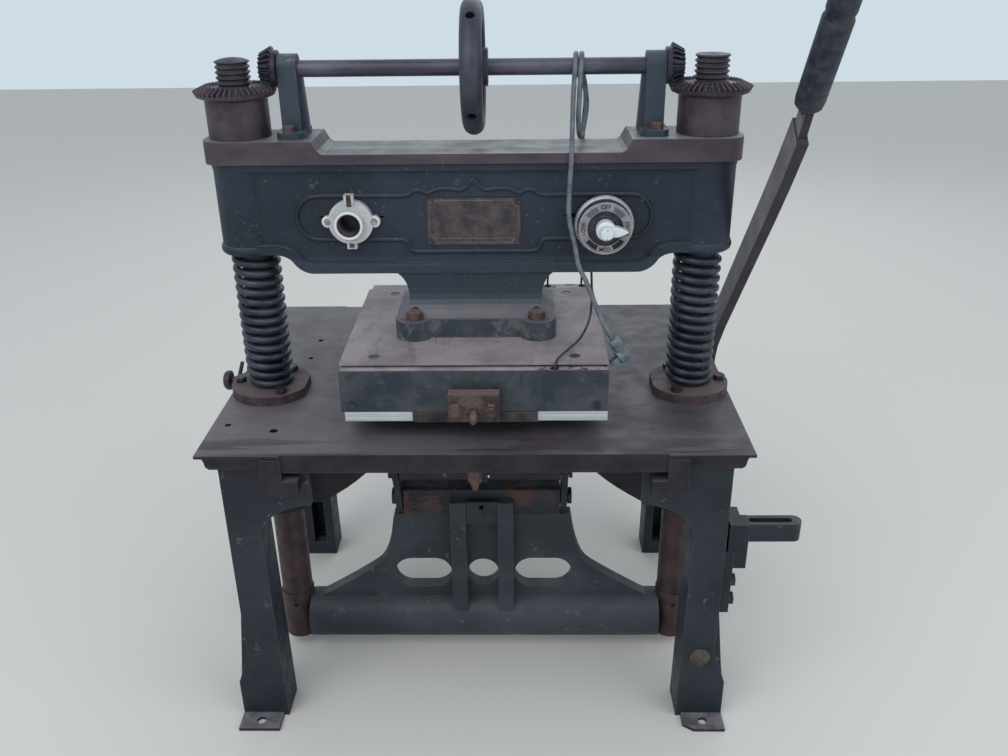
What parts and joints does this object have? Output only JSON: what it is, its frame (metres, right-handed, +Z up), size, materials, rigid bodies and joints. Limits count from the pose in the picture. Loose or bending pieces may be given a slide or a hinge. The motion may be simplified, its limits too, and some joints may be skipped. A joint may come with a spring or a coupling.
{
  "type": "arming press",
  "caption": "Bench toggle press: table on splayed legs, sprung two-rod crosshead with heated platen, geared height adjuster, side lever, lampholder and heat switch.",
  "frame": {"origin": "on the floor under the middle of the table's working face", "axes": "+Z up; the front, with the lampholder and switch, faces -Y; the lever is on +X"},
  "size_m": [0.783, 0.5546, 0.9579],
  "materials": {
    "casting_paint": "worn semi-gloss paint",
    "machined_iron": "brown patina",
    "dark_steel": "dark oxide",
    "red_steel": "red-brown patina",
    "rusty_steel": "rust",
    "brass": "tarnished",
    "bare_aluminium": "satin",
    "porcelain": "glazed",
    "switch_black": "gloss",
    "grip_black": "worn",
    "lead_black": "matt",
    "cord_grey": "matt"
  },
  "bodies": {
    "stand": {"table": "machined_iron", "leg_front_left": "casting_paint", "leg_front_right": "casting_paint", "leg_rear_left": "casting_paint", "leg_rear_right": "casting_paint", "leg_bolts": "dark_steel", "bush_left": "machined_iron", "bush_right": "machined_iron", "bush_bolts": "rusty_steel", "upper_pin": "dark_steel", "lever_stop": "casting_paint", "lever_stop_bolts": "dark_steel", "apron_screw": "rusty_steel", "leg_tag": "brass", "spring_left": "dark_steel", "spring_right": "dark_steel"},
    "ram": {"rod_left": "red_steel", "rod_right": "red_steel", "rod_sleeves": "red_steel", "yoke": "casting_paint", "yoke_head": "casting_paint", "yoke_pins": "dark_steel"},
    "head": {"crosshead": "casting_paint", "platen_plate": "machined_iron", "heat_sheet": "dark_steel", "heater_block": "machined_iron", "front_cover": "casting_paint", "die_plate": "bare_aluminium", "clamp_bar": "rusty_steel", "clamp_block": "rusty_steel", "clamp_bolts": "rusty_steel", "clamp_stud": "rusty_steel", "foot_bolts": "rusty_steel", "platen_screws": "dark_steel", "nameplate": "brass", "panel_screws": "brass", "lampholder": "porcelain", "lampholder_shell": "brass", "switch_body": "switch_black", "bracket_left": "casting_paint", "bracket_right": "casting_paint", "bracket_bolts": "rusty_steel", "heater_leads": "lead_black", "mains_cord": "cord_grey", "plug": "cord_grey"},
    "spindle": {"adjusting_shaft": "dark_steel", "handwheel": "dark_steel", "pinion_left": "dark_steel", "pinion_right": "dark_steel"},
    "left_nut": {"nut_left": "dark_steel"},
    "right_nut": {"nut_right": "dark_steel"},
    "switch_pointer": {"switch_knob": "porcelain"},
    "side_screw": {"side_knob": "dark_steel"},
    "toggle_upper": {"upper_link": "casting_paint", "knee_pin": "dark_steel"},
    "toggle_lower": {"lower_links": "casting_paint"},
    "pull_rod": {"pull_link": "casting_paint"},
    "hand_lever": {"rock_shaft": "dark_steel", "lever": "dark_steel", "lever_grip": "grip_black"}
  },
  "joints": [
    {"name": "lever_swing", "type": "hinge", "parent": "stand", "child": "hand_lever", "pos_m": [0, 0.176, 0.303], "axis": [1, 0, 0], "range_deg": [0, 52]},
    {"name": "ram_slide", "type": "slide", "parent": "stand", "child": "ram", "axis": [0, 0, -1], "range_m": [0, 0.0106], "stiffness_N_per_m": 60000, "springref_m": -0.05, "deforming": ["spring_left", "spring_right"]},
    {"name": "head_slide", "type": "slide", "parent": "ram", "child": "head", "axis": [0, 0, 1], "range_m": [-0.009, 0.012], "deforming": ["spring_left", "spring_right"]},
    {"name": "shaft_turn", "type": "hinge", "parent": "head", "child": "spindle", "pos_m": [0, -0.068, 0.8484], "axis": [1, 0, 0], "range_deg": [-1081, 1441]},
    {"name": "left_nut_turn", "type": "hinge", "parent": "head", "child": "left_nut", "pos_m": [-0.283, -0.068, 0.8], "axis": [0, 0, 1], "range_deg": [-541, 721]},
    {"name": "right_nut_turn", "type": "hinge", "parent": "head", "child": "right_nut", "pos_m": [0.283, -0.068, 0.8], "axis": [0, 0, 1], "range_deg": [-721, 541]},
    {"name": "switch_turn", "type": "hinge", "parent": "head", "child": "switch_pointer", "pos_m": [0.159, -0.1239, 0.668], "axis": [0, -1, 0], "continuous": true},
    {"name": "side_screw_turn", "type": "hinge", "parent": "stand", "child": "side_screw", "pos_m": [-0.346, -0.018, 0.419], "axis": [1, 0, 0], "continuous": true},
    {"name": "upper_link_swing", "type": "hinge", "parent": "stand", "child": "toggle_upper", "pos_m": [0, -0.068, 0.382], "axis": [1, 0, 0], "range_deg": [0, 15.58]},
    {"name": "lower_link_swing", "type": "hinge", "parent": "toggle_upper", "child": "toggle_lower", "pos_m": [0, -0.096, 0.318], "axis": [1, 0, 0], "range_deg": [-31.64, 0]},
    {"name": "pull_link_swing", "type": "hinge", "parent": "hand_lever", "child": "pull_rod", "pos_m": [0, 0.16701, 0.28458], "axis": [1, 0, 0], "range_deg": [-51.1, 0]}
  ],
  "couplings": [
    {"joint": "ram_slide", "follows": "lever_swing", "m_per_rad": 0.011569},
    {"joint": "upper_link_swing", "follows": "lever_swing", "ratio": 0.29572},
    {"joint": "lower_link_swing", "follows": "lever_swing", "ratio": -0.60467},
    {"joint": "pull_link_swing", "follows": "lever_swing", "ratio": -0.97879},
    {"joint": "shaft_turn", "follows": "head_slide", "rad_per_m": 2094.4},
    {"joint": "left_nut_turn", "follows": "head_slide", "rad_per_m": 1047.2},
    {"joint": "right_nut_turn", "follows": "head_slide", "rad_per_m": -1047.2}
  ]
}
